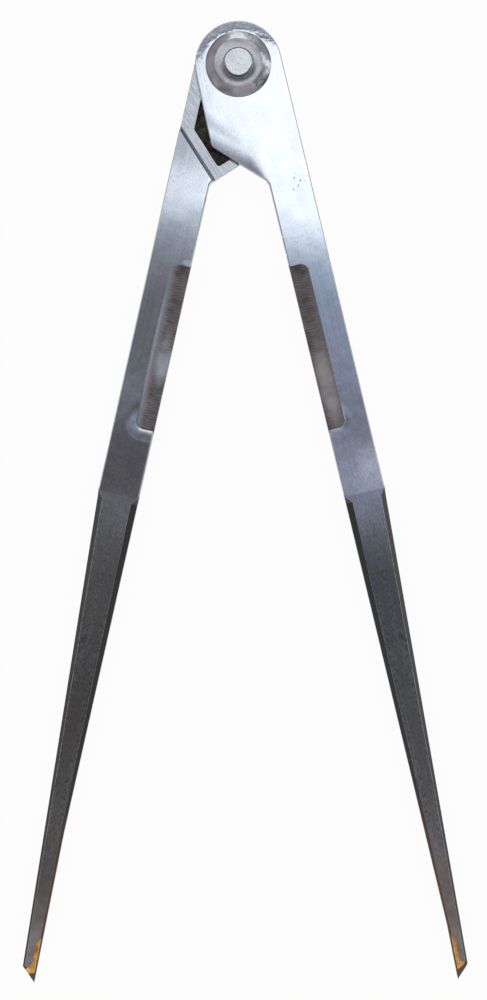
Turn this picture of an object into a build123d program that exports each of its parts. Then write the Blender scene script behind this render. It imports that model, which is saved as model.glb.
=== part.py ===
from build123d import *
import os
from math import acos, atan2, degrees, hypot, radians, sqrt, tan

os.makedirs("parts", exist_ok=True)

# A steel marking-out compass, opened, lying on its back.
# The pivot axis is Z, the heads point to +Y and the legs run to -Y.
# The back of the joint lies on Z = 0 and the washer faces up. Sizes are in millimetres.

# Whole instrument
leg_length = 286.7
opening_angle = 26.15

# Leg section
thickness = 7.6
head_radius = 13.2
closing_gap = 0.7
edge_break = 0.3

# Lap joint: each head is half the thickness, with a wing on the inner side
lap_clearance = 0.04
wing_width = 13.85
wing_reach = 36.2
wing_clearance = 0.3
wing_corner_radius = 2.8
crotch_radius = 3.0

# Relief in the lap face: a forged pocket round the hub, and a groove along the shoulder
pocket_depth = 1.3
pocket_outer_rim = 4.2
pocket_wing_rim = 2.8
pocket_shoulder_rim = 4.0
pocket_corner_radius = 1.0
hub_radius = 9.5
groove_depth = 0.5
groove_outer_width = 0.9
groove_inner_width = 0.25

# Finger relief milled into both faces along the inner edge
relief_start = 63.5
relief_length = 51.2
relief_width = 5.5
relief_depth = 1.7
relief_step = 0.35
relief_corner_radius = 2.5

# Tapered blade with long bevels on all four edges
taper_start = 135.6
blade_end_edge = 3.75
blade_end_thickness = 4.0
bevel_run = 2.0
outer_bevel = 1.6
inner_bevel = 1.95
end_bevel = 0.6

# Ground end of each leg: its inner face leans towards the point, the outer corner is rounded,
# and both faces are ground down. The two ends were ground by hand and differ a little.
left_lean_length = 46.7
right_lean_length = 16.6
left_point_side = -0.42
right_point_side = 0.05
left_corner_radius = 0.3
right_corner_radius = 2.0
left_grind_run = 5.4
right_grind_run = 8.0
grind_rise = 2.9

# Hard point: a strip let into the inner side of the blade, with a foot that makes up the ground end
insert_length = 16.6
insert_width = 0.45
insert_lead = 2.7
foot_rise = 3.2
left_foot_slope = -0.5
right_foot_slope = 0.5

# Braze: a seam beside the strip, which widens to a patch above the foot
braze_width = 1.1
braze_lead = 1.5
patch_rise = 5.6
left_patch_corner = (3.2, 3.5)
right_patch_corner = (3.1, 4.95)
left_patch_foot = 2.2
right_patch_foot = 2.85

# Pivot pin and washer
pin_radius = 4.05
pin_clearance = 0.03
pin_chamfer = 0.25
pin_stand = 4.9
rivet_head_radius = 6.4
rivet_head_angle = 90
washer_radius = 10.0
washer_edge = 0.6
washer_ridge_radius = 7.3
washer_ridge_height = 4.0
washer_ridge_flat = 0.3
washer_clearance = 0.02
recess_radius = 4.7
recess_lip = 2.4
recess_floor = 0.9

# Cutters reach this far past the metal that they cut
overshoot = 5.0

# Levels across the thickness of a leg, measured from its middle plane
half = thickness / 2
lap_level = lap_clearance / 2

# Wing outline: the side edge leaves the round head as a tangent and ends at the wing corner
wing_drop = wing_reach - wing_width
wing_corner = (-wing_width, -wing_drop)
crotch = (closing_gap, -wing_reach - closing_gap)
wing_spread = atan2(wing_drop, wing_width) - acos(head_radius / hypot(wing_width, wing_drop))
head_arc_size = 180 + degrees(wing_spread)

# The shoulder that stops the wing of the other leg runs at 45 degrees across the leg,
# where Y is X less the reach
diagonal = sqrt(2)
shoulder_reach = wing_reach + wing_clearance
shoulder_run = (head_radius - closing_gap) * diagonal
shoulder_foot = Plane(
    origin=(head_radius, head_radius - shoulder_reach, lap_level), x_dir=(-1, -1, 0), z_dir=(0, 0, 1)
)

# Pocket corners: its sides run parallel to the outer edge, the shoulder and the wing
pocket_outer = head_radius - pocket_outer_rim
pocket_wing = -wing_width + pocket_wing_rim
pocket_shoulder_reach = shoulder_reach - pocket_shoulder_rim * diagonal
pocket_wing_reach = wing_reach - pocket_wing_rim * diagonal
pocket_foot = (
    (pocket_shoulder_reach - pocket_wing_reach) / 2,
    -(pocket_shoulder_reach + pocket_wing_reach) / 2,
)

# The outer edge of the blade runs in a straight line from the taper to its end
edge_slope = (head_radius - blade_end_edge) / (leg_length - taper_start)


def along_blade(root_size, end_size, station):
    """A size of the tapered blade, at a distance from the pivot."""
    share = (station - taper_start) / (leg_length - taper_start)
    return root_size + (end_size - root_size) * share


def inner_face(lean_length, point_side, rise):
    """The place of the inner face, at a height above the point: it leans, then runs along the leg."""
    return point_side + (closing_gap - point_side) * min(1, rise / lean_length)


def inlay_outlines(lean_length, point_side, foot_slope, patch_corner, patch_foot):
    """Outlines of the hard point and of the braze beside it, in the plan of a leg."""
    top = insert_length - leg_length
    lead_rise = insert_length - insert_lead
    widen_rise = lead_rise - braze_lead
    lead_edge = inner_face(lean_length, point_side, lead_rise) + insert_width
    foot_edge = inner_face(lean_length, point_side, foot_rise) + insert_width
    widen_edge = inner_face(lean_length, point_side, widen_rise) + insert_width + braze_width
    patch_edge = inner_face(lean_length, point_side, patch_rise) + insert_width + braze_width
    outer_foot = foot_rise + foot_slope * (head_radius - foot_edge) - leg_length
    insert = (
        (-overshoot, top),
        (inner_face(lean_length, point_side, insert_length), top),
        (lead_edge, lead_rise - leg_length),
        (foot_edge, foot_rise - leg_length),
        (head_radius, outer_foot),
        (head_radius, outer_foot - leg_length),
        (-overshoot, outer_foot - leg_length),
    )
    braze = (
        (lead_edge, lead_rise - leg_length),
        (widen_edge, widen_rise - leg_length),
        (patch_edge, patch_rise - leg_length),
        (patch_corner[0], patch_corner[1] - leg_length),
        (patch_foot, foot_rise + foot_slope * (patch_foot - foot_edge) - leg_length),
        (foot_edge, foot_rise - leg_length),
    )
    return insert, braze


# Each leg stands half the opening angle from the centre line. The left one is turned over.
swing = opening_angle / 2
left_place = Plane((0, 0, half), x_dir=Vector(-1, 0, 0).rotate(Axis.Z, -swing), z_dir=(0, 0, -1))
right_place = Plane((0, 0, half), x_dir=Vector(1, 0, 0).rotate(Axis.Z, swing), z_dir=(0, 0, 1))


# The cutter for the finger relief has a floor that falls towards the inner edge, on both faces
with BuildPart() as relief_cutter:
    with BuildSketch() as relief_plan:
        with Locations((closing_gap + relief_width, -relief_start)):
            Rectangle(relief_width + overshoot, relief_length, align=(Align.MAX, Align.MAX))
        fillet(relief_plan.vertices().group_by(Axis.X)[-1], relief_corner_radius)
    extrude(amount=half + overshoot)
    with BuildSketch(Plane.XZ.offset(relief_start)):
        Polygon(
            (closing_gap + relief_width, half - relief_step),
            (closing_gap, half - relief_depth),
            (closing_gap - overshoot, half - relief_depth),
            (closing_gap - overshoot, half + overshoot),
            (closing_gap + relief_width, half + overshoot),
            align=None,
        )
    extrude(amount=relief_length, mode=Mode.INTERSECT)
    mirror(about=Plane.XY)


def forge_leg(lean_length, point_side, corner_radius, grind_run):
    """One whole leg with the front half of the lap joint, ground to its point.

    X is the outer side of the leg, the point lies on -Y, and Z = 0 is the middle of its thickness.
    The end is cut off at 45 degrees, and its outer corner lies where that cut meets the outer edge.
    """
    tip = Vector(point_side, -leg_length, 0)
    end_rise = (blade_end_edge - point_side) / (1 - edge_slope)
    end_corner = (point_side + end_rise, end_rise - leg_length)
    lean_start = leg_length - lean_length
    with BuildPart() as forging:
        with BuildSketch(Plane.XY.offset(-half)) as plan:
            with BuildLine():
                head_arc = CenterArc((0, 0), head_radius, 0, head_arc_size)
                Polyline(
                    head_arc @ 1,
                    wing_corner,
                    crotch,
                    (closing_gap, -lean_start),
                    (tip.X, tip.Y),
                    end_corner,
                    (head_radius, -taper_start),
                    head_arc @ 0,
                )
            make_face()
            fillet(plan.vertices().sort_by_distance(wing_corner)[0], wing_corner_radius)
            fillet(plan.vertices().sort_by_distance(crotch)[0], crotch_radius)
            fillet(plan.vertices().sort_by_distance(end_corner)[0], corner_radius)
        extrude(amount=thickness)
        chamfer(forging.faces().filter_by(Axis.Z).edges(), edge_break)
        add(relief_cutter.part, mode=Mode.SUBTRACT)

        # Both faces of the blade slope towards each other
        end_half = along_blade(half, blade_end_thickness / 2, leg_length + overshoot)
        for face in (1, -1):
            with BuildSketch(Plane.YZ.offset(-overshoot)):
                Polygon(
                    (-taper_start, face * half),
                    (-leg_length - overshoot, face * end_half),
                    (-leg_length - overshoot, face * (half + overshoot)),
                    (-taper_start, face * (half + overshoot)),
                    align=None,
                )
            extrude(amount=head_radius + 2 * overshoot, mode=Mode.SUBTRACT)

        # Long bevels, ground along the four edges of the blade, run out at its root
        bevel_top = taper_start + bevel_run
        for full_bevel, side in ((outer_bevel, 1), (inner_bevel, -1)):
            for face in (1, -1):
                for station in (taper_start, bevel_top, lean_start, leg_length):
                    share = (station - bevel_top) / (leg_length - bevel_top)
                    bevel = full_bevel + (end_bevel - full_bevel) * share
                    if station == taper_start:
                        bevel = edge_break
                    edge_x = inner_face(lean_length, point_side, leg_length - station)
                    if side > 0:
                        edge_x = along_blade(head_radius, blade_end_edge, station)
                    edge_z = along_blade(half, blade_end_thickness / 2, station)
                    with BuildSketch(Plane.XZ.offset(station)):
                        Polygon(
                            (edge_x - side * (bevel + overshoot), face * (edge_z + overshoot)),
                            (edge_x + side * overshoot, face * (edge_z - bevel - overshoot)),
                            (edge_x + side * overshoot, face * (edge_z + overshoot)),
                            align=None,
                        )
                loft(ruled=True, mode=Mode.SUBTRACT)

        # Both faces of the end are ground down to the point
        for face in (1, -1):
            rise = Vector(0, grind_rise, face * blade_end_thickness / 2)
            run = Vector(grind_run, grind_run, face * blade_end_thickness / 2)
            split(bisect_by=Plane(tip, x_dir=run, z_dir=run.cross(rise) * face), keep=Keep.BOTTOM)

        # Half of the thickness is taken away above the shoulder
        with BuildSketch(Plane.XY.offset(-half)):
            Polygon(
                (-shoulder_reach, -2 * shoulder_reach),
                (head_radius + overshoot, head_radius + overshoot - shoulder_reach),
                (head_radius + overshoot, head_radius + overshoot),
                (-shoulder_reach, head_radius + overshoot),
                align=None,
            )
        extrude(amount=half + lap_level, mode=Mode.SUBTRACT)

        # Groove at the foot of the shoulder, wider at its outer end
        with BuildSketch(shoulder_foot):
            Polygon(
                (-groove_outer_width, 0),
                (shoulder_run + groove_inner_width, 0),
                (shoulder_run + groove_inner_width, -groove_inner_width),
                (-groove_outer_width, -groove_outer_width),
                align=None,
            )
        extrude(amount=groove_depth, mode=Mode.SUBTRACT)

        # Forged pocket in the lap face, which leaves the hub and a rim
        with BuildSketch(Plane.XY.offset(lap_level)) as pocket:
            Polygon(
                (pocket_outer, 0),
                (pocket_outer, pocket_outer - pocket_shoulder_reach),
                pocket_foot,
                (pocket_wing, -pocket_wing - pocket_wing_reach),
                (pocket_wing, 0),
                align=None,
            )
            fillet(pocket.vertices(), pocket_corner_radius)
            Circle(hub_radius, mode=Mode.SUBTRACT)
        extrude(amount=pocket_depth, mode=Mode.SUBTRACT)
    return forging.part


left_forging = forge_leg(left_lean_length, left_point_side, left_corner_radius, left_grind_run)
right_forging = forge_leg(right_lean_length, right_point_side, right_corner_radius, right_grind_run)
left_insert, left_seam = inlay_outlines(
    left_lean_length, left_point_side, left_foot_slope, left_patch_corner, left_patch_foot
)
right_insert, right_seam = inlay_outlines(
    right_lean_length, right_point_side, right_foot_slope, right_patch_corner, right_patch_foot
)

# Left leg: the rear half of the joint, pressed onto the pin and countersunk for its rear head
with BuildPart() as left_leg:
    with Locations(left_place):
        add(left_forging)
    with BuildSketch(left_place.offset(-half)):
        Polygon(*left_insert, align=None)
        Polygon(*left_seam, align=None)
    extrude(amount=thickness, mode=Mode.SUBTRACT)
    with Locations(Plane((0, 0, 0), z_dir=(0, 0, -1))):
        CounterSinkHole(pin_radius, rivet_head_radius, counter_sink_angle=rivet_head_angle)
left_leg.part.label = "left_leg"

# Right leg: the front half of the joint, with a running bore
with BuildPart() as right_leg:
    with Locations(right_place):
        add(right_forging)
    with BuildSketch(right_place.offset(-half)):
        Polygon(*right_insert, align=None)
        Polygon(*right_seam, align=None)
    extrude(amount=thickness, mode=Mode.SUBTRACT)
    with Locations((0, 0, thickness)):
        Hole(pin_radius + pin_clearance)
right_leg.part.label = "right_leg"

# Hard points and braze seams: what each outline takes out of a forged leg
inlays = []
for name, place, forging, outline in (
    ("left_point", left_place, left_forging, left_insert),
    ("left_braze", left_place, left_forging, left_seam),
    ("right_point", right_place, right_forging, right_insert),
    ("right_braze", right_place, right_forging, right_seam),
):
    with BuildPart() as inlay:
        with Locations(place):
            add(forging)
        with BuildSketch(place.offset(-half)):
            Polygon(*outline, align=None)
        extrude(amount=thickness, mode=Mode.INTERSECT)
    inlay.part.label = name
    inlays.append(inlay)

# Turned washer on the front of the joint: a raised ring with a bevel outside and a gentler one inside,
# which runs down to a narrow recess round the pin. It is pressed onto the pin.
washer_seat = thickness + washer_clearance
washer_top = washer_seat + washer_ridge_height
with BuildPart() as joint_washer:
    with BuildSketch(Plane.XZ):
        Polygon(
            (pin_radius, washer_seat),
            (washer_radius, washer_seat),
            (washer_radius, washer_seat + washer_edge),
            (washer_ridge_radius, washer_top),
            (washer_ridge_radius - washer_ridge_flat, washer_top),
            (recess_radius, washer_seat + recess_lip),
            (recess_radius, washer_seat + recess_floor),
            (pin_radius, washer_seat + recess_floor),
            align=None,
        )
    revolve(axis=Axis.Z)
joint_washer.part.label = "joint_washer"

# Pivot pin: a flush countersunk head at the back, and a chamfered end that stands through the washer
pin_top = washer_seat + pin_stand
rivet_head_depth = (rivet_head_radius - pin_radius) / tan(radians(rivet_head_angle / 2))
with BuildPart() as pivot_pin:
    with BuildSketch(Plane.XZ):
        Polygon(
            (0, 0),
            (rivet_head_radius, 0),
            (pin_radius, rivet_head_depth),
            (pin_radius, pin_top - pin_chamfer),
            (pin_radius - pin_chamfer, pin_top),
            (0, pin_top),
            align=None,
        )
    revolve(axis=Axis.Z)
pivot_pin.part.label = "pivot_pin"

for piece in (left_leg, right_leg, joint_washer, pivot_pin, *inlays):
    export_step(piece.part, f"parts/{piece.part.label}.step")
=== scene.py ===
import bpy
from math import hypot, radians, tau
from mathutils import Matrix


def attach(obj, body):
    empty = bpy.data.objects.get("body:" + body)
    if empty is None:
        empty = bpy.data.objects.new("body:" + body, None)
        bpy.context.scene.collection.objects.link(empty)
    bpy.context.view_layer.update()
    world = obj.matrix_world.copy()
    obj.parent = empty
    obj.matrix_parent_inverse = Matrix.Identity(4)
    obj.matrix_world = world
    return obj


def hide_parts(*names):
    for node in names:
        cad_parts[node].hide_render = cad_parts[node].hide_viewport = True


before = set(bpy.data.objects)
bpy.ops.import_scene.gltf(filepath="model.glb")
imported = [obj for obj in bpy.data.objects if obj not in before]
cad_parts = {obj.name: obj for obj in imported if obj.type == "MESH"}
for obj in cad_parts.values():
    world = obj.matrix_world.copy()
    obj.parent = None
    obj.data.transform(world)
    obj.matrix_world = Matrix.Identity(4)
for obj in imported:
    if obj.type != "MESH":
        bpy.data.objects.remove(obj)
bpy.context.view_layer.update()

# The two legs are forged from tool steel, milled at the joint and ground along their length.
# Ground faces mirror the studio softly. Bevels are coarser and painted dark as shade, and milled places are
# darker and coarser.
# The left leg is the right one turned over, and each stands half the opening from the middle.
MM = 0.001
opening_angle = 26.15
leg_swing = radians(opening_angle / 2)
leg_length = 286.7
leg_half = 3.8
head_radius = 13.2
joint_end = -37.4
blade_start = 135.6
blade_end_half = 2.0
blade_fall = (leg_half - blade_end_half) / (leg_length - blade_start)
edge_samples = 6
face_colours = ("CBD1DA", "E5E9F0")
warm_colour = "BDB5B3"
blade_colours = ("959997", "D4D7D6")
tempered_colour = "BAB3B5"
heat_colours = ("B3A9A4", "DAD6D6")
bevel_shade_colour = "4B4A4B"
burnt_colour = "6E5A4C"
side_colour = "B4B9C2"
relief_colours = ("5F5859", "9A9396")
lap_colours = ("BCC4CE", "F0F3F7")
groove_shade_colour = "7C8083"
pocket_colours = ("2F2A27", "70675F")
speck_colour = "6A6B70"
# The nicks are painted white as highlights
nick_highlight_colour = "FFFFFF"


def linear(colour):
    """The linear RGBA of an sRGB hex colour."""
    parts = [int(colour[i : i + 2], 16) / 255 for i in (0, 2, 4)]
    return (*[c / 12.92 if c <= 0.04045 else ((c + 0.055) / 1.055) ** 2.4 for c in parts], 1)


def add(tree, kind, inputs=(), stops=(), **settings):
    """Adds a node with its settings. Each input is set to a value, or linked from a node or socket."""
    made = tree.nodes.new("ShaderNode" + kind)
    for name, value in settings.items():
        setattr(made, name, value)
    sockets = [socket for socket in made.inputs if socket.enabled]
    if isinstance(inputs, dict):
        inputs, sockets = inputs.values(), [made.inputs[name] for name in inputs]
    for socket, value in zip(sockets, inputs):
        if isinstance(value, bpy.types.Node):
            value = next(output for output in value.outputs if output.enabled)
        if isinstance(value, bpy.types.NodeSocket):
            tree.links.new(value, socket)
        else:
            socket.default_value = linear(value) if isinstance(value, str) else value
    for place, colour in stops[2:]:
        made.color_ramp.elements.new(place)
    for element, (place, colour) in zip(made.color_ramp.elements if stops else (), stops):
        element.position = place
        element.color = linear(colour)
    return made


def new_finish(name):
    """A new material, its empty node tree, and the place on the piece that patterns read."""
    material = bpy.data.materials.new(name)
    material.use_nodes = True
    tree = material.node_tree
    tree.nodes.clear()
    return material, tree, add(tree, "TexCoord").outputs["Object"]


def make_metal(tree, colour, rough, height, distance, broken=None):
    """Ends a tree with a bare metal. Broken is the normal of its edges, where they are rounded."""
    raised = {"Height": height, "Distance": distance, "Strength": 1.0}
    if broken:
        raised["Normal"] = broken
    look = {"Metallic": 1.0, "Base Color": colour, "Roughness": rough, "Normal": add(tree, "Bump", raised)}
    add(tree, "OutputMaterial", {"Surface": add(tree, "BsdfPrincipled", look)})


def streaked(tree, place, size, detail, roughness, turn=0):
    """Noise stretched to a size each way and turned, as grinding, filing and milling leave it."""
    laid = add(tree, "Mapping", (place, (0, 0, 0), (0, 0, radians(turn)), size), vector_type="TEXTURE")
    return add(tree, "TexNoise", (laid, 1.0, detail, roughness))


def distance_from_zero(tree, first, second):
    """How far a point lies from a corner or an axis, given how far it lies each way."""
    flat = add(tree, "CombineXYZ", (first, second, 0.0))
    return add(tree, "VectorMath", (flat,), operation="LENGTH")


def soft_spots(tree, turned, places):
    """A mask of soft spots, each with its place across and along the leg, and its reach each way."""
    solid_share = 0.3
    total = 0.0
    for middle_x, middle_y, reach_x, reach_y in places:
        shift = (-middle_x / reach_x, -middle_y / reach_y, 0)
        spread = add(tree, "Mapping", (turned, shift, (0, 0, 0), (1 / reach_x, 1 / reach_y, 0)))
        far = add(tree, "VectorMath", (spread,), operation="LENGTH")
        spot = add(tree, "MapRange", (far, solid_share, 1.0, 1.0, 0.0), interpolation_type="SMOOTHSTEP")
        total = add(tree, "Math", (spot, total), operation="MAXIMUM")
    return total


def dark_pits(tree, turned):
    """A mask of small pits in loose groups, one in each cell of a grid or none."""
    cell_size, group_size, group_range, largest = 1.3, 14.0, (0.52, 0.75), 0.2
    cells = add(tree, "TexVoronoi", (turned, 1 / cell_size, 0.0, 0.5, 2.0, 1.0))
    chance = add(tree, "SeparateXYZ", (cells.outputs["Color"],))
    groups = add(tree, "TexNoise", (turned, 1 / group_size, 2.0, 0.5))
    reach = add(tree, "MapRange", (groups, *group_range, 0.0, largest))
    reach = add(tree, "Math", (reach, chance), operation="MULTIPLY")
    return add(tree, "Math", (cells, reach), operation="LESS_THAN")


def rim_roll(tree, across, along, warped):
    """How far the upper rim of the head has rolled over, from 0 to 1, in a slightly wavy line."""
    roll_start, roll_power, wave, wave_middle, upper_reach = 9.3, 3.0, 4.0, 2.3, (2.5, 12.5)
    from_pivot = distance_from_zero(tree, across, along)
    from_pivot = add(tree, "Math", (from_pivot, wave_middle), operation="SUBTRACT")
    from_pivot = add(tree, "Math", (warped, wave, from_pivot), operation="MULTIPLY_ADD")
    roll = add(tree, "MapRange", (from_pivot, roll_start, head_radius, 0.0, 1.0))
    roll = add(tree, "Math", (roll, roll_power), operation="POWER")
    upper = add(tree, "MapRange", (along, *upper_reach), interpolation_type="SMOOTHSTEP")
    return add(tree, "Math", (roll, upper), operation="MULTIPLY")


def wing_fall(tree, across, along, off_face):
    """How far the face falls away towards the slanting end of its wing, in millimetres."""
    wing_end, reach, fall, fall_power, inner_reach = -36.0, 12.0, -0.08, 2.0, (1.5, -5.0)
    from_end = add(tree, "Math", (across, along), operation="ADD")
    from_end = add(tree, "Math", (from_end, -wing_end), operation="ADD")
    from_end = add(tree, "Math", (from_end,), operation="ABSOLUTE")
    near_end = add(tree, "MapRange", (from_end, 0.0, reach, 1.0, 0.0))
    near_end = add(tree, "Math", (near_end, fall_power), operation="POWER")
    inner = add(tree, "MapRange", (across, *inner_reach), interpolation_type="SMOOTHSTEP")
    near_end = add(tree, "Math", (near_end, inner), operation="MULTIPLY")
    on_face = add(tree, "MapRange", (off_face, 1.0, 0.0, 0.0, fall))
    return add(tree, "Math", (near_end, on_face), operation="MULTIPLY")


def relief_dip_share(tree, across, along):
    """How far the face dips round the lower corner of the finger relief, from 0 to 1."""
    corner_across, corner_along, near, far = 4.1, -112.2, 2.5, 6.4
    dip_power, lower_reach = 2.0, (-106.0, -114.0)
    past_side = add(tree, "Math", (across, corner_across), operation="SUBTRACT")
    past_side = add(tree, "Math", (past_side, 0.0), operation="MAXIMUM")
    past_end = add(tree, "Math", (corner_along, along), operation="SUBTRACT")
    past_end = add(tree, "Math", (past_end, 0.0), operation="MAXIMUM")
    dip = add(tree, "MapRange", (distance_from_zero(tree, past_side, past_end), far, near))
    dip = add(tree, "Math", (dip, dip_power), operation="POWER")
    below = add(tree, "MapRange", (along, *lower_reach), interpolation_type="SMOOTHSTEP")
    return add(tree, "Math", (dip, below), operation="MULTIPLY")


def leg_steel(name, side, relief_dip, relief_edge, highlight_colour, highlight_spots, nicks, smears):
    """Forged and ground tool steel. Side is 1 for the right leg and -1 for the left one.

    Inside, places are in millimetres across and along the leg, from its pivot. A spot of painted
    highlight, a nick painted as a white highlight, or a smeared spot is its place across and along, and its
    reach each way.
    """
    material, tree, place = new_finish(name)
    turned = add(tree, "Mapping", (place, (0, 0, 0), (0, 0, -leg_swing), (side / MM, 1 / MM, 1 / MM)))
    across, along, up = add(tree, "SeparateXYZ", (turned,)).outputs

    # How far a point lies from the middle plane, and how deep below the ground face, which falls
    # along the blade
    face_blend = (0.02, 0.07)
    level = add(tree, "Math", (up, leg_half), operation="SUBTRACT")
    level = add(tree, "Math", (level,), operation="ABSOLUTE")
    past = add(tree, "Math", (-blade_start, along), operation="SUBTRACT")
    past = add(tree, "Math", (past, 0.0), operation="MAXIMUM")
    top = add(tree, "Math", (past, -blade_fall, leg_half), operation="MULTIPLY_ADD")
    depth = add(tree, "Math", (top, level), operation="SUBTRACT")
    off_face = add(tree, "MapRange", (depth, *face_blend), interpolation_type="SMOOTHSTEP")

    # Broad mottling from hand grinding, fine lines and broader streaks along the leg, and a short
    # grain. A belt leaves lines of 0.1 to 0.2 mm, and these are about three times as coarse to show.
    mottle_size, stain_size = 9.0, 2.6
    line_size, streak_size, grain_size = (0.5, 22.0, 0.5), (2.2, 40.0, 2.2), (0.4, 1.0, 0.4)
    mottle_share, line_share, streak_share, grain_share = 0.3, 0.2, 0.12, 0.38
    mottle = add(tree, "TexNoise", (turned, 1 / mottle_size, 4.0, 0.55))
    warped = add(tree, "TexNoise", (turned, 1 / stain_size, 4.0, 0.65))
    lines = streaked(tree, turned, line_size, 3.0, 0.6)
    streaks = streaked(tree, turned, streak_size, 2.0, 0.5)
    grain = streaked(tree, turned, grain_size, 3.0, 0.6)
    tone = add(tree, "Math", (mottle, mottle_share), operation="MULTIPLY")
    for pattern, share in ((lines, line_share), (streaks, streak_share), (grain, grain_share)):
        tone = add(tree, "Math", (pattern, share, tone), operation="MULTIPLY_ADD")

    # The face is bright at the head and warmer lower down, the blade is grey with tempered streaks,
    # and the end has been heated for brazing
    tone_range, blade_grain, blade_reach = (0.4, 0.56), 0.5, (-118.0, -160.0)
    warm_reach, warm_range, warm_most = (-50.0, -110.0), (0.44, 0.66), 0.5
    tempered_range, tempered_most = (0.44, 0.6), 0.7
    heat_reach, heat_range = (-236.0, -276.0), (0.35, 0.6)
    warm_share = add(tree, "MapRange", (along, *warm_reach, 0.0, warm_most))
    warm = add(tree, "MapRange", (warped, *warm_range, 0.0, warm_share))
    face = add(tree, "ValToRGB", (tone,), stops=tuple(zip(tone_range, face_colours)))
    face = add(tree, "Mix", (warm, face, warm_colour), data_type="RGBA")
    speckle = add(tree, "Math", (tone, 1 - blade_grain), operation="MULTIPLY")
    speckle = add(tree, "Math", (grain, blade_grain, speckle), operation="MULTIPLY_ADD")
    blade = add(tree, "ValToRGB", (speckle,), stops=tuple(zip(tone_range, blade_colours)))
    tempered = add(tree, "MapRange", (streaks, *tempered_range, 0.0, tempered_most))
    blade = add(tree, "Mix", (tempered, blade, tempered_colour), data_type="RGBA")
    to_blade = add(tree, "MapRange", (along, *blade_reach))
    colour = add(tree, "Mix", (to_blade, face, blade), data_type="RGBA")
    heated = add(tree, "ValToRGB", (mottle,), stops=tuple(zip(heat_range, heat_colours)))
    to_point = add(tree, "MapRange", (along, *heat_reach))
    colour = add(tree, "Mix", (to_point, colour, heated), data_type="RGBA")
    pit = dark_pits(tree, turned)
    colour = add(tree, "Mix", (pit, colour, speck_colour), data_type="RGBA")

    # Sides of the leg, and bevels of the blade, painted dark as shade, whose inner ones are burnt brown
    # near the point
    bevels_reach, burnt_reach, burnt_side = (-134.6, -135.4), (-225.0, -262.0), (2.4, 1.6)
    burnt = add(tree, "MapRange", (along, *burnt_reach))
    inner = add(tree, "MapRange", (across, *burnt_side))
    burnt = add(tree, "Math", (burnt, inner), operation="MULTIPLY")
    bevel = add(tree, "Mix", (burnt, bevel_shade_colour, burnt_colour), data_type="RGBA")
    on_blade = add(tree, "MapRange", (along, *bevels_reach))
    edge = add(tree, "Mix", (on_blade, side_colour, bevel), data_type="RGBA")
    colour = add(tree, "Mix", (off_face, colour, edge), data_type="RGBA")

    # The finger relief has arcs of the cutter across it, worn away in places. The arcs of a small
    # cutter are about 0.3 mm apart, and these are drawn wider to show.
    relief_middle, relief_reach, relief_depth = (3.0, -89.1), (3.6, 26.2), (0.06, 0.4)
    arc_pitch, worn_size, worn_range, least_arcs = 0.75, 3.5, (0.42, 0.6), 0.1
    cut_mottle, cut_arcs, cut_lines, cut_range = 0.45, 0.16, 0.45, (0.36, 0.66)
    cut_line_size, relief_side = (3.0, 0.35, 1.0), (6.6, 3.8)
    low = add(tree, "Math", (along, relief_middle[1], relief_reach[1]), operation="COMPARE")
    near = add(tree, "Math", (across, relief_middle[0], relief_reach[0]), operation="COMPARE")
    within = add(tree, "Math", (low, near), operation="MULTIPLY")
    in_relief = add(tree, "MapRange", (depth, *relief_depth), interpolation_type="SMOOTHSTEP")
    in_relief = add(tree, "Math", (in_relief, within), operation="MULTIPLY")
    worn = add(tree, "TexNoise", (turned, 1 / worn_size, 3.0, 0.6))
    arcs = (turned, tau / 20 / arc_pitch, 9.0, 3.0, 0.45, 0.7)
    arcs = add(tree, "TexWave", arcs, bands_direction="Y")
    kept = add(tree, "MapRange", (worn, *worn_range, least_arcs, 1.0))
    arcs = add(tree, "Math", (arcs, kept), operation="MULTIPLY")
    across_lines = streaked(tree, turned, cut_line_size, 3.0, 0.6)
    cut = add(tree, "Math", (mottle, cut_mottle), operation="MULTIPLY")
    cut = add(tree, "Math", (arcs, cut_arcs, cut), operation="MULTIPLY_ADD")
    cut = add(tree, "Math", (across_lines, cut_lines, cut), operation="MULTIPLY_ADD")
    relief = add(tree, "ValToRGB", (cut,), stops=tuple(zip(cut_range, relief_colours)))
    share = (across, *relief_side, relief_edge, 1.0)
    share = add(tree, "MapRange", share, interpolation_type="SMOOTHSTEP")
    share = add(tree, "Math", (share, in_relief), operation="MULTIPLY")
    colour = add(tree, "Mix", (share, colour, relief), data_type="RGBA")

    # The lap face was filed in short slanting strokes
    lap_depth, stroke_size, stroke_turn, stroke_range = 0.12, (0.35, 4.0, 1.0), -45, (0.35, 0.62)
    at_joint = add(tree, "Math", (along, joint_end), operation="GREATER_THAN")
    on_lap = add(tree, "Math", (level, lap_depth), operation="LESS_THAN")
    on_lap = add(tree, "Math", (at_joint, on_lap), operation="MULTIPLY")
    strokes = streaked(tree, turned, stroke_size, 4.0, 0.65, turn=stroke_turn)
    filed = add(tree, "ValToRGB", (strokes,), stops=tuple(zip(stroke_range, lap_colours)))
    colour = add(tree, "Mix", (on_lap, colour, filed), data_type="RGBA")

    # The groove lies along the slanting shoulder of the lap. The groove and a strip beside the shoulder's
    # foot are painted darker, as shade in the crease.
    groove_depth, groove_margin, shoulder_reach = 0.5, 0.1, 36.5
    dark_edge_middle, dark_edge_half = -1.15, 0.65
    in_groove = add(tree, "Math", (level, groove_depth, groove_margin), operation="COMPARE")
    in_groove = add(tree, "Math", (at_joint, in_groove), operation="MULTIPLY")
    by_shoulder = add(tree, "Math", (across, along), operation="SUBTRACT")
    by_shoulder = add(tree, "Math", (by_shoulder, shoulder_reach), operation="SUBTRACT")
    by_shoulder = add(tree, "Math", (by_shoulder, dark_edge_middle, dark_edge_half), operation="COMPARE")
    by_shoulder = add(tree, "Math", (by_shoulder, on_lap), operation="MULTIPLY")
    in_groove = add(tree, "Math", (in_groove, by_shoulder), operation="MAXIMUM")
    colour = add(tree, "Mix", (in_groove, colour, groove_shade_colour), data_type="RGBA")

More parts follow.
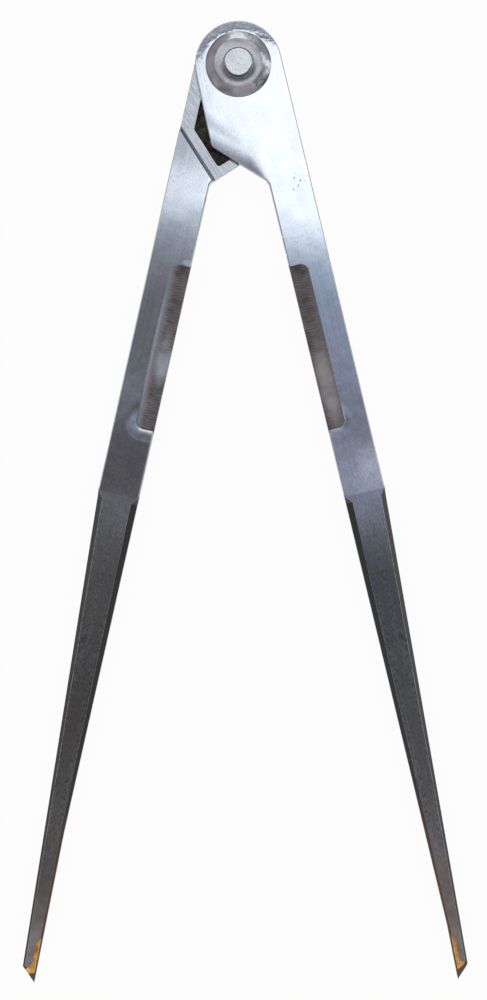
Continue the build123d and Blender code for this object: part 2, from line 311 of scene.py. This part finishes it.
    # The pocket in the lap is as forged, with coarse dark scale
    pocket_depth, pocket_margin, pocket_middle, pocket_reach = 1.15, 0.3, -1.05, 10.5
    scale_size, scale_range = 1.8, (0.35, 0.7)
    in_pocket = add(tree, "Math", (level, pocket_depth, pocket_margin), operation="COMPARE")
    in_pocket = add(tree, "Math", (at_joint, in_pocket), operation="MULTIPLY")
    narrow = add(tree, "Math", (across, pocket_middle, pocket_reach), operation="COMPARE")
    in_pocket = add(tree, "Math", (in_pocket, narrow), operation="MULTIPLY")
    scale = add(tree, "TexNoise", (turned, 1 / scale_size, 5.0, 0.65))
    forged = add(tree, "ValToRGB", (scale,), stops=tuple(zip(scale_range, pocket_colours)))
    colour = add(tree, "Mix", (in_pocket, colour, forged), data_type="RGBA")

    # Spots that handling has smeared dark, spots of painted highlight, and nicks painted as white
    # highlights
    highlight_range, highlight_shares = (0.36, 0.6), (0.28, 0.72)
    smeared = soft_spots(tree, turned, smears)
    colour = add(tree, "Mix", (smeared, colour, speck_colour), data_type="RGBA")
    painted_highlight = soft_spots(tree, turned, highlight_spots)
    highlight_share = add(tree, "MapRange", (mottle, *highlight_range, *highlight_shares))
    highlight_share = add(tree, "Math", (highlight_share, painted_highlight), operation="MULTIPLY")
    colour = add(tree, "Mix", (highlight_share, colour, highlight_colour), data_type="RGBA")
    # Painted highlight: each nick is painted white, as a glint
    nick_highlight = soft_spots(tree, turned, nicks)
    colour = add(tree, "Mix", (nick_highlight, colour, nick_highlight_colour), data_type="RGBA")

    # Ground faces are smooth, milled and forged ones are coarser
    face_rough, line_rough = 0.03, 0.04
    rough = add(tree, "Math", (lines, line_rough, face_rough), operation="MULTIPLY_ADD")
    for mask, more in (
        (off_face, 0.23),
        (in_relief, 0.12),
        (in_pocket, 0.25),
        (on_lap, -0.12),
        (painted_highlight, 0.12),
    ):
        rough = add(tree, "Math", (mask, more, rough), operation="MULTIPLY_ADD")

    # The heights of the hand finishing, then of each pattern, in millimetres
    rim_drop, edge_radius = -0.2, 0.035
    rolled = rim_roll(tree, across, along, warped)
    fallen = wing_fall(tree, across, along, off_face)
    dipped = relief_dip_share(tree, across, along)
    height = add(tree, "Math", (rolled, rim_drop, fallen), operation="MULTIPLY_ADD")
    dipped = add(tree, "Math", (dipped, -relief_dip), operation="MULTIPLY")
    height = add(tree, "Math", (height, 1.0, dipped), operation="MULTIPLY_ADD")
    for pattern, mask, rise in (
        (lines, 1.0, 0.0014),
        (across_lines, in_relief, 0.01),
        (arcs, in_relief, 0.008),
        (strokes, on_lap, 0.004),
        (scale, in_pocket, 0.12),
        (pit, 1.0, -0.006),
        (mottle, 1.0, 0.006),
    ):
        part = add(tree, "Math", (pattern, mask), operation="MULTIPLY")
        height = add(tree, "Math", (part, rise, height), operation="MULTIPLY_ADD")
    broken = add(tree, "Bevel", {"Radius": edge_radius * MM}, samples=edge_samples)
    make_metal(tree, colour, rough, height, MM, broken)
    return material


def dress(node, material):
    """Gives a CAD node one material."""
    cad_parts[node].data.materials.clear()
    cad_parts[node].data.materials.append(material)


# Each leg's highlight spots are painted highlights, lighter patches on its face, and its nicks are painted
# as white highlights
left_steel = leg_steel(
    "ground_tool_steel_left",
    side=-1,
    relief_dip=0.09,
    relief_edge=0.25,
    highlight_colour="CCD2E0",
    highlight_spots=(
        (2.4, -92.5, 3.4, 10.0),
        (6.4, -92.0, 0.6, 27.0),
        (1.2, -62.4, 2.8, 1.2),
        (0.8, -46.0, 0.7, 1.6),
    ),
    nicks=((9.0, -67.3, 0.35, 0.3),),
    smears=((0.5, -42.3, 0.5, 1.1),),
)
right_steel = leg_steel(
    "ground_tool_steel_right",
    side=1,
    relief_dip=0.06,
    relief_edge=0.75,
    highlight_colour="C2BCC2",
    highlight_spots=((2.6, -62.3, 2.8, 0.9), (3.4, -101.0, 3.4, 19.0)),
    nicks=((0.9, -54.2, 0.4, 0.5), (0.7, -59.7, 0.4, 0.4)),
    smears=(
        (8.4, -37.6, 0.3, 0.5),
        (10.0, -38.8, 0.28, 0.6),
        (7.4, -41.0, 0.3, 0.4),
        (9.1, -40.2, 0.25, 0.5),
    ),
)
dress("left_leg", left_steel)
dress("right_leg", right_steel)

# A hard point of cemented carbide is let into the inner side of each blade end.
# It is ground with the leg, so it is smooth, dark and slightly brown, with fine slanting lines.
carbide_colours = ("4A4039", "7A6D62")
carbide_rough = 0.36
carbide_lines = (0.2 * MM, 2.0 * MM, 0.2 * MM)
carbide_turn = 40
carbide_depth = 0.004 * MM

ground_carbide, tree, place = new_finish("ground_cemented_carbide")
grain = streaked(tree, place, carbide_lines, 4.0, 0.6, turn=carbide_turn)
colour = add(tree, "ValToRGB", (grain,), stops=tuple(zip((0.35, 0.65), carbide_colours)))
make_metal(tree, colour, carbide_rough, grain, carbide_depth)
for point in ("left_point", "right_point"):
    dress(point, ground_carbide)

# Brazing brass flowed in between each hard point and its leg, and was ground flush with them.
# It is bright gold below, with a brown heat stain at its upper end, and too soft to shine like steel.
braze_colours = ("A8682E", "F2AC54", "FFD08A")
stain_colour = "9C7040"
stain_from = -270.0 * MM
stain_full = -262.0 * MM
flow_size = 1.8 * MM
flow_places = (0.3, 0.42, 0.6)
braze_rough = 0.45
flow_rough = 0.2
flow_depth = 0.03 * MM

brazing_brass, tree, place = new_finish("brazing_brass_ground_flush")
flow = add(tree, "TexNoise", (place, 1 / flow_size, 4.0, 0.6))
colour = add(tree, "ValToRGB", (flow,), stops=tuple(zip(flow_places, braze_colours)))
stained = add(tree, "SeparateXYZ", (place,)).outputs[1]
stained = add(tree, "MapRange", (stained, stain_from, stain_full))
colour = add(tree, "Mix", (stained, colour, stain_colour), data_type="RGBA")
rough = add(tree, "Math", (flow, flow_rough, braze_rough), operation="MULTIPLY_ADD")
make_metal(tree, colour, rough, flow, flow_depth)
for seam in ("left_braze", "right_braze"):
    dress(seam, brazing_brass)

# The pivot pin is a plain rivet pin of bright steel, faced off with a file.
# The file left short crossing scratches on its end. Its side is painted dark in front as shade, and painted
# white behind.
pin_radius = 4.05
pin_colours = ("DCE3E9", "FFFFFF")
pin_side_shade_colours = ("6E6864", "FFFFFF")
scratch_size = (0.2 * MM, 2.6 * MM, MM)
scratch_turns = (28, 52, 70)
scratch_range = (0.44, 0.55)
pin_rough = 0.04
scratch_rough = 0.16
scratch_depth = 0.017 * MM
pin_edge = 0.15 * MM
shade_blend_half = 1.5 * MM
end_margin = 0.06

filed_pin, tree, place = new_finish("filed_pin_steel")
scratches = 0.0
for turn in scratch_turns:
    scratch = streaked(tree, place, scratch_size, 3.0, 0.6, turn=turn)
    scratches = add(tree, "Math", (scratch, 1 / len(scratch_turns), scratches), operation="MULTIPLY_ADD")
east, north, up = add(tree, "SeparateXYZ", (place,)).outputs
# Painted shade: the pin's side is dark in front and white behind
behind = add(tree, "MapRange", (north, -shade_blend_half, shade_blend_half))
side_colour = add(tree, "Mix", (behind, *pin_side_shade_colours), data_type="RGBA")
from_axis = distance_from_zero(tree, east, north)
on_side = add(tree, "Math", (from_axis, (pin_radius - end_margin) * MM), operation="GREATER_THAN")
colour = add(tree, "ValToRGB", (scratches,), stops=tuple(zip(scratch_range, pin_colours)))
colour = add(tree, "Mix", (on_side, colour, side_colour), data_type="RGBA")
rough = add(tree, "Math", (scratches, scratch_rough, pin_rough), operation="MULTIPLY_ADD")
broken = add(tree, "Bevel", {"Radius": pin_edge}, samples=edge_samples)
make_metal(tree, colour, rough, scratches, scratch_depth, broken)
dress("pivot_pin", filed_pin)

# The washer is turned from bar steel: a raised ring with a bevel outside and a gentler one inside,
# pressed on the pin. Its edges are rounded, its outer bevel has painted reflections all round, bright
# glints and dark patches, and its inner one is satin smooth, slightly dished and painted lighter
# towards the pin.
washer_seat = 7.62
washer_radius = 10.0
washer_edge = 0.6
washer_rise = 4.0
ridge_radius = 7.3
ridge_flat = 0.3
recess_radius = 4.7
recess_taper = 0.02
lip_level = 2.4
recess_level = 0.9
hole_radius = 4.08
washer_sides = 144
turning_pitch = 0.35
ring_share = 0.03
mottle_size = 2.6
tone_range = (0.35, 0.65)
reflection_wander = 0.25
plain_share = 0.3
painted_light_reach = (6.6, 4.9)
ridge_blend = (7.1, 7.4)
dish_reach = (4.7, 6.8)
inner_dish = 0.5
tone_depth = 0.03
mottle_rough = 0.12
smooth_angle = radians(40)
inner_rough = 0.4
outer_rough = 0.2
washer_colours = ("98949C", "BFBCC2")
washer_inner_colours = ("B9BCC8", "E6E9F2")
washer_painted_light = "ECF0F8"
# Painted reflections round the outer bevel, by bearing in degrees: bright glints and dark patches
washer_painted_reflections = (
    (-172, "827B83"),
    (-153, "5E585E"),
    (-135, "8A848A"),
    (-52, "B8B6BC"),
    (-38, "585A62"),
    (-14, "8A8D95"),
    (-6, "AFB5BD"),
    (3, "FAFDFF"),
    (12, "9CA1A9"),
    (24, "6C6D76"),
    (58, "74757E"),
    (74, "C6CED7"),
    (86, "FFFFFF"),
    (100, "D9DEE6"),
    (116, "7D7A82"),
    (150, "5E5860"),
    (178, "7F7880"),
)


def pick(mesh, test):
    """Selects the edges whose ends both pass a test on their place, in millimetres."""
    bpy.ops.mesh.select_all(action="DESELECT")
    bpy.ops.object.mode_set(mode="OBJECT")
    passed = [test(*(c / MM for c in vertex.co)) for vertex in mesh.vertices]
    for edge in mesh.edges:
        edge.select = passed[edge.vertices[0]] and passed[edge.vertices[1]]
    bpy.ops.object.mode_set(mode="EDIT")


def pick_caps(mesh, lowest):
    """Selects the many-sided faces above a level, in millimetres."""
    bpy.ops.object.mode_set(mode="OBJECT")
    for face in mesh.polygons:
        face.select = len(face.vertices) > 4 and face.center.z > lowest * MM
    bpy.ops.object.mode_set(mode="EDIT")


def on_ring(radius, level):
    """A test for points on one ring of the washer."""
    return lambda x, y, z: abs(hypot(x, y) - radius) < 0.02 and abs(z - level) < 0.02


bpy.ops.object.select_all(action="DESELECT")
bpy.ops.mesh.primitive_cylinder_add(
    vertices=washer_sides,
    radius=washer_radius * MM,
    depth=washer_edge * MM,
    location=(0, 0, (washer_seat + washer_edge / 2) * MM),
)
washer = bpy.context.active_object
washer.name = "washer_ring"
bpy.ops.object.transform_apply()
bpy.ops.object.mode_set(mode="EDIT")
bpy.ops.mesh.select_mode(type="FACE")
level, radius = washer_seat + washer_edge, washer_radius
for new_radius, new_level in (
    (ridge_radius, washer_seat + washer_rise),
    (ridge_radius - ridge_flat, washer_seat + washer_rise),
    (recess_radius, washer_seat + lip_level),
    (recess_radius - recess_taper, washer_seat + recess_level),
    (hole_radius, washer_seat + recess_level),
    (hole_radius, washer_seat),
):
    bpy.ops.mesh.select_all(action="DESELECT")
    pick_caps(washer.data, washer_seat + 0.1)
    rise = (0, 0, (new_level - level) * MM)
    bpy.ops.mesh.extrude_region_move(TRANSFORM_OT_translate={"value": rise})
    bpy.ops.transform.resize(value=(new_radius / radius, new_radius / radius, 1))
    level, radius = new_level, new_radius

# The hole goes through: the last face and the one below it go, and the rings at the seat are joined
bpy.ops.mesh.delete(type="FACE")
pick_caps(washer.data, 0.0)
bpy.ops.mesh.delete(type="ONLY_FACE")
bpy.ops.mesh.select_mode(type="EDGE")
pick(washer.data, lambda x, y, z: abs(z - washer_seat) < 0.01)
bpy.ops.mesh.bridge_edge_loops()
for radius, level, width in (
    (washer_radius, washer_seat + washer_edge, 0.15),
    (ridge_radius, washer_seat + washer_rise, 0.25),
    (ridge_radius - ridge_flat, washer_seat + washer_rise, 0.12),
    (recess_radius, washer_seat + lip_level, 0.2),
):
    pick(washer.data, on_ring(radius, level))
    bpy.ops.mesh.bevel(offset=width * MM, segments=4, affect="EDGES")
bpy.ops.mesh.select_all(action="SELECT")
bpy.ops.mesh.normals_make_consistent(inside=False)
bpy.ops.object.mode_set(mode="OBJECT")
bpy.ops.object.shade_smooth_by_angle(angle=smooth_angle)

# Its outer colours are painted reflections that go round with the bearing of a point, made uneven by the
# mottling
turned_steel, tree, place = new_finish("turned_washer_steel")
east, north, up = add(tree, "SeparateXYZ", (place,)).outputs
from_axis = distance_from_zero(tree, east, north)
rings = add(tree, "Math", (from_axis, tau / (turning_pitch * MM)), operation="MULTIPLY")
rings = add(tree, "Math", (rings,), operation="SINE")
mottle = add(tree, "TexNoise", (place, 1 / (mottle_size * MM), 4.0, 0.55))
tone = add(tree, "Math", (rings, ring_share, mottle), operation="MULTIPLY_ADD")
bearing = add(tree, "Math", (north, east), operation="ARCTAN2")
bearing = add(tree, "MapRange", (bearing, -tau / 2, tau / 2))
bearing = add(tree, "Math", (mottle, reflection_wander, bearing), operation="MULTIPLY_ADD")
bearing = add(tree, "Math", (bearing, reflection_wander / 2), operation="SUBTRACT")
reflection_stops = [(degrees / 360 + 0.5, colour) for degrees, colour in washer_painted_reflections]
outside = add(tree, "ValToRGB", (bearing,), stops=reflection_stops)
plain = add(tree, "ValToRGB", (tone,), stops=tuple(zip(tone_range, washer_colours)))
outside = add(tree, "Mix", (plain_share, outside, plain), data_type="RGBA")
inside = add(tree, "ValToRGB", (tone,), stops=tuple(zip(tone_range, washer_inner_colours)))
# Painted light: the inner bevel turns lighter towards the pin, against the shade there
painted_light_by_pin = add(tree, "MapRange", (from_axis, *(reach * MM for reach in painted_light_reach)))
inside = add(tree, "Mix", (painted_light_by_pin, inside, washer_painted_light), data_type="RGBA")
past_ridge = add(tree, "MapRange", (from_axis, *(reach * MM for reach in ridge_blend)))
colour = add(tree, "Mix", (past_ridge, inside, outside), data_type="RGBA")
rough = add(tree, "MapRange", (past_ridge, 0.0, 1.0, inner_rough, outer_rough))
rough = add(tree, "Math", (mottle, mottle_rough, rough), operation="MULTIPLY_ADD")
dished = add(tree, "MapRange", (from_axis, *(reach * MM for reach in dish_reach), 0.0, -inner_dish))
height = add(tree, "Math", (tone, tone_depth, dished), operation="MULTIPLY_ADD")
make_metal(tree, colour, rough, height, MM)
washer.data.materials.append(turned_steel)
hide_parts("joint_washer")
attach(washer, "left_side")

# The compass lies on a plain pale floor of matt paint, which keeps its soft shadow.
# Most of the floor's light is its own where it is seen directly or mirrored.
floor_size = 6.0
floor_middle = (0, -0.13, 0)
floor_colour = "FBFBFB"
floor_rough = 0.9
glow_share = 0.95

bpy.ops.object.select_all(action="DESELECT")
bpy.ops.mesh.primitive_plane_add(size=floor_size, location=floor_middle)
floor = bpy.context.active_object
floor.name = "floor"
bpy.ops.object.transform_apply()
floor_paint, tree, place = new_finish("pale_matt_paint")
paint = add(tree, "BsdfPrincipled", {"Metallic": 0.0, "Base Color": floor_colour, "Roughness": floor_rough})
glow = add(tree, "Emission", {"Color": "FFFFFF", "Strength": 1.0})
path = add(tree, "LightPath")
direct, mirrored, through = (path.outputs[f"Is {ray} Ray"] for ray in ("Camera", "Glossy", "Transmission"))
seen = add(tree, "Math", (direct, mirrored), operation="MAXIMUM")
seen = add(tree, "Math", (seen, through), operation="MAXIMUM")
seen = add(tree, "Math", (seen, glow_share), operation="MULTIPLY")
mixed = add(tree, "MixShader", (seen, paint, glow))
add(tree, "OutputMaterial", {"Surface": mixed})
floor.data.materials.append(floor_paint)

# The studio: soft light comes from all round, and the ceiling over the compass is dimmer, with one
# long soft light over the joint. The ceiling is laid out by how far a direction leans from straight
# up: forward is positive, and each leg has its own side of it.
around_strength = 0.9
band_strength = 0.8
rim_strength = 0.22
brightest = 1.6
low_edge = (0.3, 0.5)
rim_edge = (0.76, 0.86)
top_edge = (0.88, 0.94)
lamp_place = (0.047, 0.0115, 0)
lamp_turn = radians(8)
lamp_reach = (0.009, 0.011, 1)
lamp_strength = 0.5
ceiling_reach = 0.3
ceiling_slant = 0.15
between_legs = (-0.026, 0.018)
band_shift = 0.005
band_front = (0.093, 0.112)
band_back = (0.17, 0.184)
left_stop = (0.11, 0.121)
left_rest = 0.15
whole_slant = 0.25
whole_from = (0.0175, 0.022)
right_ceiling = (
    (-0.28, "686462"),
    (-0.19, "96908C"),
    (-0.1445, "8D8489"),
    (-0.1306, "757478"),
    (-0.1, "68686B"),
    (-0.045, "5C6167"),
    (-0.034, "676C74"),
    (-0.018, "9094A4"),
    (0.0154, "9CA4BA"),
    (0.029, "80808A"),
    (0.05, "9096AA"),
    (0.07, "969DB1"),
    (0.084, "9EADC0"),
    (0.1, "B4C0CC"),
    (0.168, "C4CAD2"),
    (0.182, "74777C"),
    (0.22, "7C828C"),
    (0.27, "A6AEB9"),
)
left_ceiling = (
    (-0.28, "686462"),
    (-0.194, "989798"),
    (-0.179, "7A7878"),
    (-0.165, "686668"),
    (-0.151, "6E6C6E"),
    (-0.108, "5A585A"),
    (-0.05, "6A6A6C"),
    (-0.036, "77777C"),
    (0.017, "5C595B"),
    (0.031, "848792"),
    (0.045, "6E7072"),
    (0.074, "76727A"),
    (0.1, "A2AAB4"),
    (0.168, "B0B6BE"),
    (0.182, "74777C"),
    (0.23, "72767F"),
    (0.28, "A6AEB9"),
)
around_stops = (
    (-180, 0.5),
    (-120, 0.62),
    (-90, 0.7),
    (-55, 0.66),
    (-35, 0.3),
    (-20, 0.34),
    (-4, 1.0),
    (8, 1.5),
    (18, 0.55),
    (32, 0.3),
    (58, 0.34),
    (72, 0.9),
    (88, 1.6),
    (104, 0.75),
    (125, 0.5),
    (180, 0.5),
)


def grey(share):
    """The sRGB hex grey of a strength, where the brightest is white."""
    return f"{round(255 * (share / brightest) ** (1 / 2.2)):02X}" * 3


world = bpy.data.worlds.new("studio")
world.use_nodes = True
bpy.context.scene.world = world
sky = world.node_tree
sky.nodes.clear()
east, north, height = add(sky, "SeparateXYZ", (add(sky, "TexCoord").outputs["Generated"],)).outputs
safe = add(sky, "Math", (height, 0.01), operation="MAXIMUM")
lean_x = add(sky, "Math", (east, safe), operation="DIVIDE")
lean_y = add(sky, "Math", (north, safe), operation="DIVIDE")
lean = add(sky, "Math", (lean_x, ceiling_slant, lean_y), operation="MULTIPLY_ADD")
spread = add(sky, "MapRange", (lean, -ceiling_reach, ceiling_reach))
over_left, over_right = (
    add(
        sky,
        "ValToRGB",
        (spread,),
        stops=[((place + ceiling_reach) / (2 * ceiling_reach), colour) for place, colour in stops],
    )
    for stops in (left_ceiling, right_ceiling)
)
side_part = add(sky, "MapRange", (lean_x, *between_legs), interpolation_type="SMOOTHSTEP")
ceiling = add(sky, "Mix", (side_part, over_left, over_right), data_type="RGBA")

# The long light reaches over the joint, but stops short over the left leg
band_from = add(sky, "Math", (side_part, band_shift, lean), operation="MULTIPLY_ADD")
band_start = add(sky, "MapRange", (band_from, *band_front), interpolation_type="SMOOTHSTEP")
band_end = add(sky, "MapRange", (lean, *band_back, 1.0, 0.0), interpolation_type="SMOOTHSTEP")
left_end = add(sky, "MapRange", (lean, *left_stop, 1.0, left_rest), interpolation_type="SMOOTHSTEP")
whole = add(sky, "Math", (lean_y, whole_slant, lean_x), operation="MULTIPLY_ADD")
whole = add(sky, "MapRange", (whole, *whole_from))
left_end = add(sky, "Math", (left_end, whole), operation="MAXIMUM")
band = add(sky, "Math", (band_start, band_end), operation="MULTIPLY")
band = add(sky, "Math", (band, left_end), operation="MULTIPLY")
band = add(sky, "Math", (band, band_strength), operation="MULTIPLY")

# A small round light stands beside it, over the right leg
lamp = add(sky, "CombineXYZ", (lean_x, lean_y, 0.0))
lamp = add(sky, "Mapping", (lamp, lamp_place, (0, 0, lamp_turn), lamp_reach), vector_type="TEXTURE")
lamp = add(sky, "VectorMath", (lamp,), operation="LENGTH")
lamp = add(sky, "MapRange", (lamp, 0.0, 1.0, lamp_strength, 0.0), interpolation_type="SMOOTHSTEP")
band = add(sky, "Math", (band, lamp), operation="ADD")
overhead = add(sky, "Mix", (1.0, ceiling, band), data_type="RGBA", blend_type="ADD")

# Round the compass the light changes with the direction, most of all low down
bearing = add(sky, "Math", (north, east), operation="ARCTAN2")
bearing = add(sky, "MapRange", (bearing, -tau / 2, tau / 2))
around_greys = [(degrees / 360 + 0.5, grey(share)) for degrees, share in around_stops]
around = add(sky, "ValToRGB", (bearing,), stops=around_greys)
low = add(sky, "MapRange", (height, *low_edge, brightest, 0.0))
high = add(sky, "MapRange", (height, *low_edge, 0.0, 1.0))
walls = add(sky, "Math", (around, low, high), operation="MULTIPLY_ADD")
strength = add(sky, "MapRange", (height, *rim_edge, around_strength, rim_strength))
walls = add(sky, "Math", (walls, strength), operation="MULTIPLY")
near_top = add(sky, "MapRange", (height, *top_edge))
light = add(sky, "Mix", (near_top, walls, overhead), data_type="RGBA")
lit = add(sky, "Background", (light, 1.0))
plain = add(sky, "Background", ("FFFFFF", 1.0))
shown = add(sky, "MixShader", (add(sky, "LightPath").outputs["Is Camera Ray"], lit, plain))
add(sky, "OutputWorld", {"Surface": shown})

# The camera looks straight down from 850 mm, as the perspective in the photograph gives, and is
# turned by less than half a degree. Its view is as high as the photograph.
camera_height = 850 * MM
view_height = 306.7 * MM
camera_place = (0.55 * MM, -132.53 * MM, camera_height)
camera_turn = radians(-0.43)

camera_data = bpy.data.cameras.new("camera")
camera = bpy.data.objects.new("camera", camera_data)
bpy.context.scene.collection.objects.link(camera)
camera.location = camera_place
camera.rotation_euler = (0, 0, camera_turn)
camera_data.sensor_width = 36
camera_data.lens = camera_data.sensor_width * camera_height / view_height
camera_data.clip_end = 10
bpy.context.scene.camera = camera
bpy.context.scene.view_settings.view_transform = "Standard"
